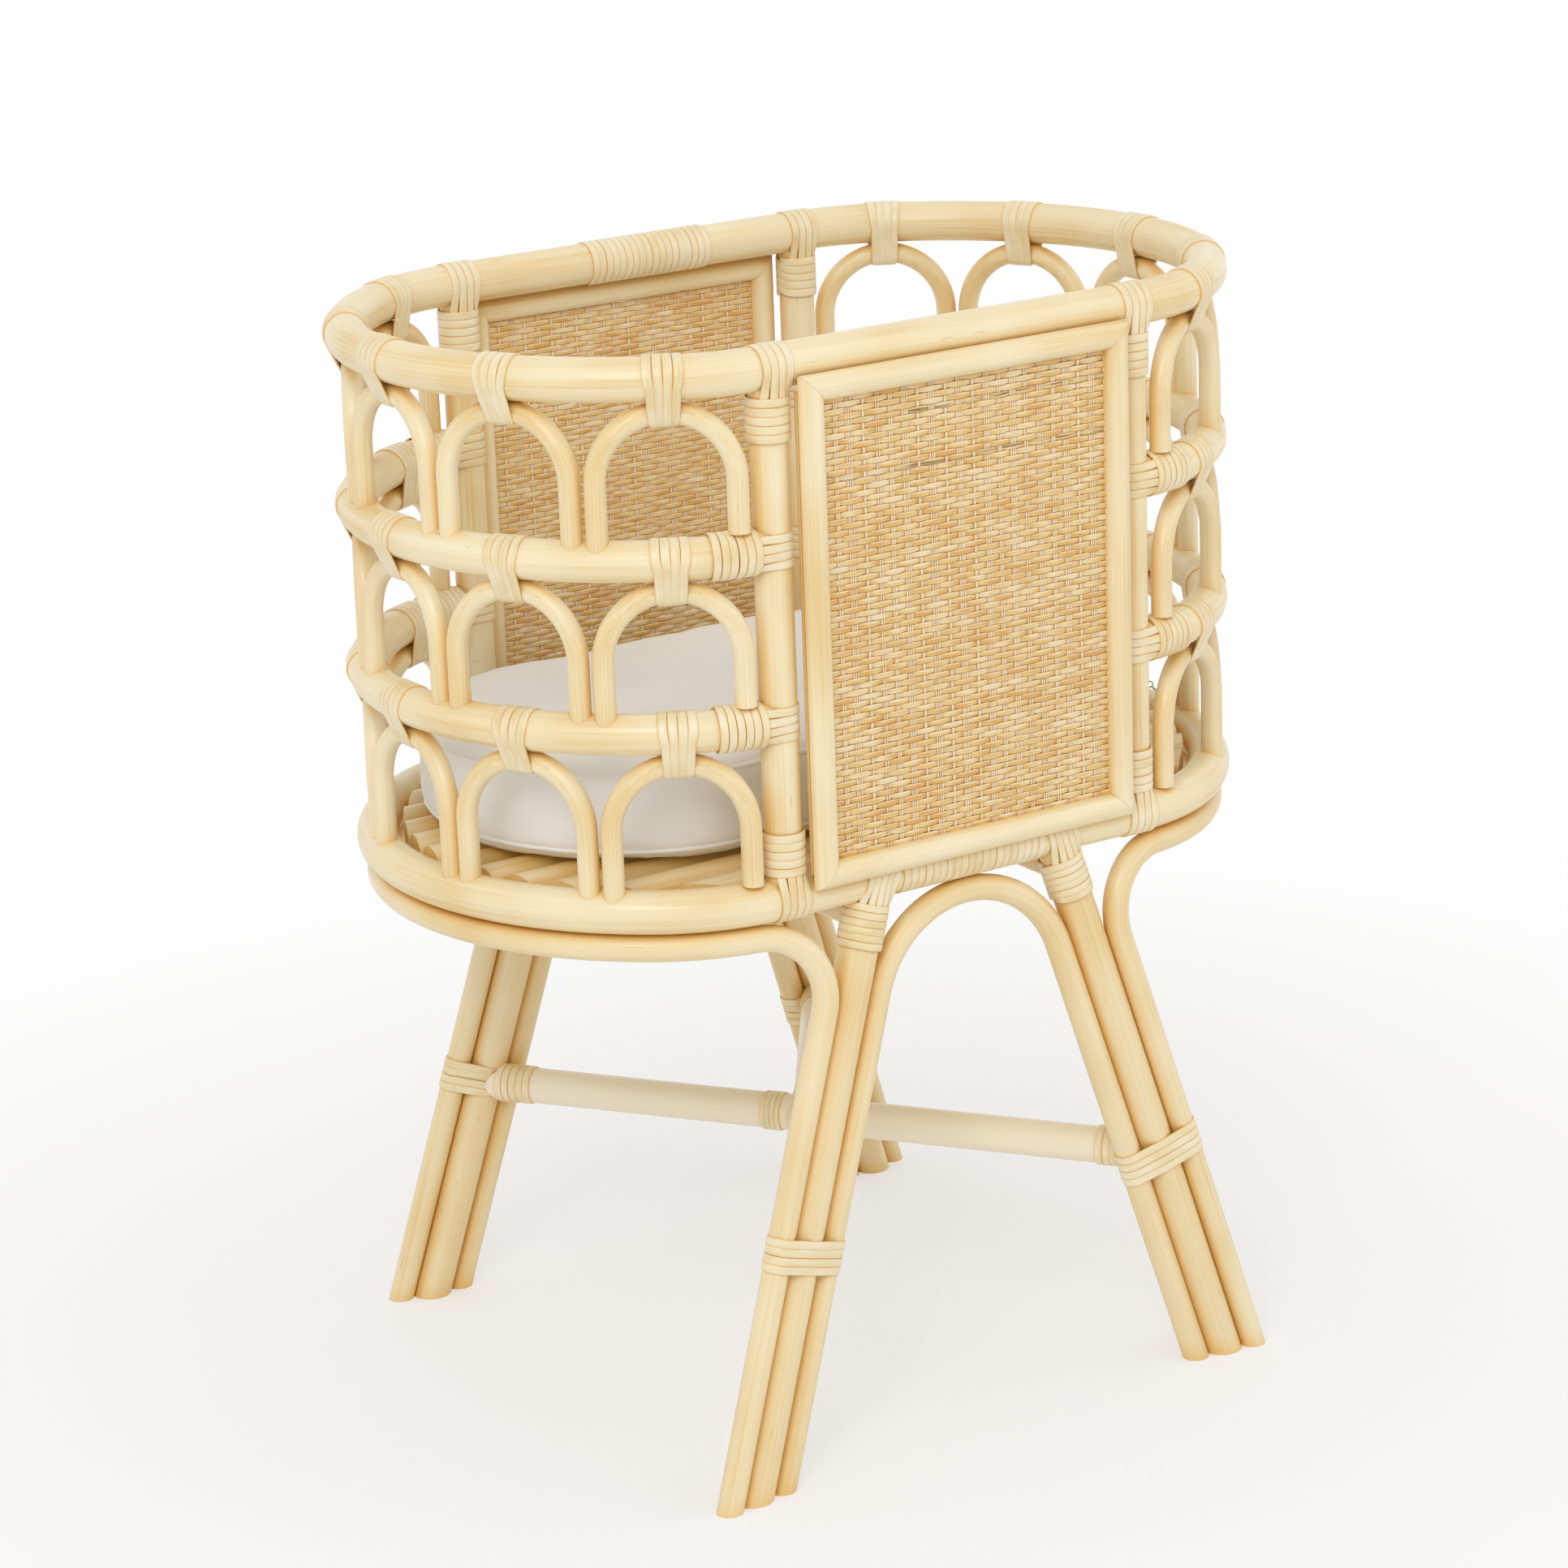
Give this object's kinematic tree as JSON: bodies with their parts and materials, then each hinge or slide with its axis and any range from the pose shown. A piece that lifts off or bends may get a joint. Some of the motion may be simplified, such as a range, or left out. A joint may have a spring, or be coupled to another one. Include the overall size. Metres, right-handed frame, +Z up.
{
  "type": "baby cradle",
  "caption": "Oval baby cradle of bent rattan poles on splayed legs, with cane webbing sides, tiers of arches round the ends, a slatted base and a lift-out mattress.",
  "frame": {"origin": "on the floor under the centre of the basket", "axes": "+X along the basket to its right end, -Y towards the front panel, +Z up"},
  "size_m": [0.7168, 0.5178, 0.8574],
  "materials": {
    "rattan_pole": "peeled rattan pole under satin clear lacquer",
    "rattan_thin_pole": "thin peeled rattan, steam bent, under satin clear lacquer",
    "half_round_moulding": "half-round cane moulding under satin clear lacquer",
    "rattan_peel": "flat strips of rattan skin, wound tight and lacquered",
    "cane_webbing": "close-woven flat and round cane, lacquered",
    "screw_steel": "zinc-plated steel",
    "mattress_cover": "white woven cotton cover over foam"
  },
  "bodies": {
    "cradle": {"arch_bindings_bottom_left": "rattan_peel", "arch_bindings_bottom_right": "rattan_peel", "arch_bindings_middle_left": "rattan_peel", "arch_bindings_middle_right": "rattan_peel", "arch_bindings_top_left": "rattan_peel", "arch_bindings_top_right": "rattan_peel", "arches_bottom_left": "rattan_thin_pole", "arches_bottom_right": "rattan_thin_pole", "arches_middle_left": "rattan_thin_pole", "arches_middle_right": "rattan_thin_pole", "arches_top_left": "rattan_thin_pole", "arches_top_right": "rattan_thin_pole", "base_bearers": "rattan_pole", "base_slats": "rattan_pole", "bottom_rail": "rattan_pole", "bottom_rail_wraps": "rattan_peel", "crossing_binding": "rattan_peel", "end_brace_left": "rattan_pole", "end_brace_right": "rattan_pole", "inner_frame_back": "half_round_moulding", "inner_frame_front": "half_round_moulding", "joint_screws": "screw_steel", "leg_arch_back": "rattan_pole", "leg_arch_front": "rattan_pole", "leg_back_left": "rattan_pole", "leg_back_right": "rattan_pole", "leg_bands": "rattan_peel", "leg_front_left": "rattan_pole", "leg_front_right": "rattan_pole", "leg_top_bindings": "rattan_peel", "lower_mid_bindings": "rattan_peel", "lower_mid_rail_left": "rattan_pole", "lower_mid_rail_right": "rattan_pole", "outer_frame_back": "half_round_moulding", "outer_frame_front": "half_round_moulding", "post_back_left": "rattan_pole", "post_back_right": "rattan_pole", "post_foot_bindings": "rattan_peel", "post_front_left": "rattan_pole", "post_front_right": "rattan_pole", "post_top_bindings": "rattan_peel", "stretcher_end_bindings": "rattan_peel", "stretcher_long": "rattan_pole", "stretcher_short_back": "rattan_pole", "stretcher_short_front": "rattan_pole", "top_rail": "rattan_pole", "top_rail_wrap": "rattan_peel", "upper_mid_bindings": "rattan_peel", "upper_mid_rail_left": "rattan_pole", "upper_mid_rail_right": "rattan_pole", "webbing_back": "cane_webbing", "webbing_front": "cane_webbing"},
    "mattress": {"mattress": "mattress_cover"}
  },
  "joints": [
    {"name": "mattress_lift", "type": "slide", "parent": "cradle", "child": "mattress", "axis": [0, 0, 1], "range_m": [0, 0.42]}
  ]
}
